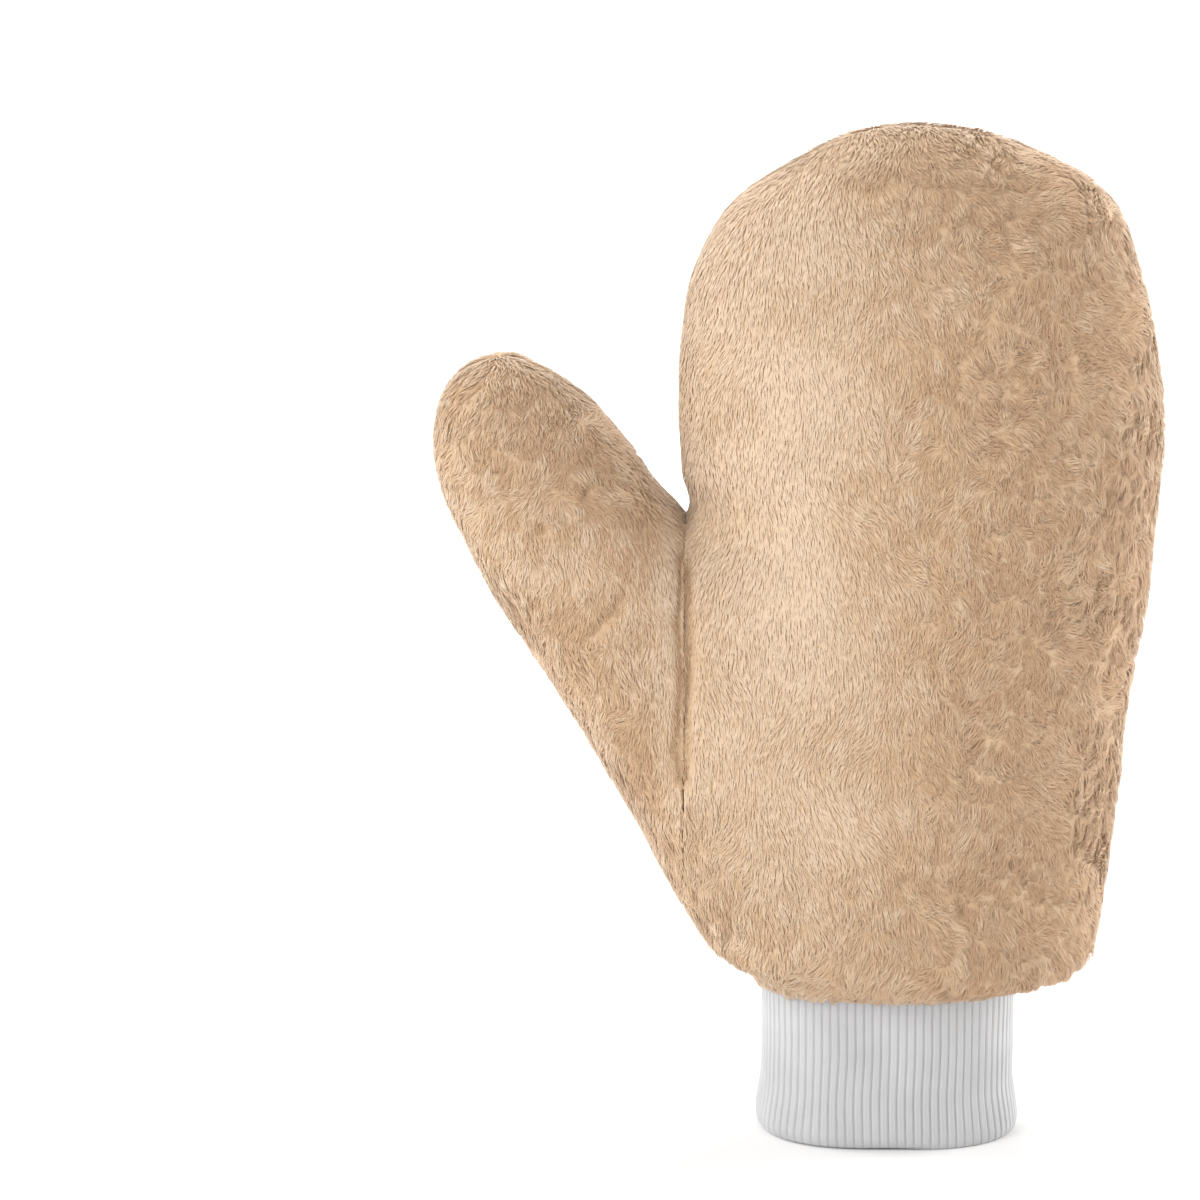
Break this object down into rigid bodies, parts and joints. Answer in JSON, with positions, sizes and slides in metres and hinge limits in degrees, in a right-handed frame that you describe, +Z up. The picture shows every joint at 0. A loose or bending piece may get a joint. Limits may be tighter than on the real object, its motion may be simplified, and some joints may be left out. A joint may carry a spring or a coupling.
{
  "type": "wash mitt",
  "caption": "Upright long-pile wash mitt with a separate thumb, a loose inner lining and a folded rib-knit wrist cuff.",
  "frame": {"origin": "centre of the bounding box at the bottom, in the plane of the cuff hem that the mitt stands on", "axes": "+X across the hand away from the thumb, +Y from the palm side to the back, +Z up from the cuff hem to the fingertips"},
  "size_m": [0.2011, 0.077, 0.285],
  "materials": {
    "fleece": "matte",
    "lining": "matte",
    "rib_knit": "matte",
    "thread": "satin"
  },
  "bodies": {
    "cuff": {"rib_cuff": "rib_knit", "cuff_side_seam_thread": "thread"},
    "hand": {"palm_fleece": "fleece", "back_fleece": "fleece", "palm_lining": "lining", "back_lining": "lining", "cuff_joining_thread": "thread", "hand_edge_thread": "thread"},
    "thumb": {"thumb_palm_fleece": "fleece", "thumb_back_fleece": "fleece", "thumb_palm_lining": "lining", "thumb_back_lining": "lining", "thumb_edge_thread": "thread", "thumb_seam_thread": "thread"}
  },
  "joints": [
    {"name": "wrist_bend", "type": "hinge", "parent": "cuff", "child": "hand", "pos_m": [0.0264, 0, 0.046], "axis": [1, 0, 0], "range_deg": [-30, 30], "deforming": ["rib_cuff"]},
    {"name": "thumb_fold", "type": "hinge", "parent": "hand", "child": "thumb", "pos_m": [-0.0315, -0.0275, 0.119], "axis": [0, 0, 1], "range_deg": [0, 40]}
  ]
}
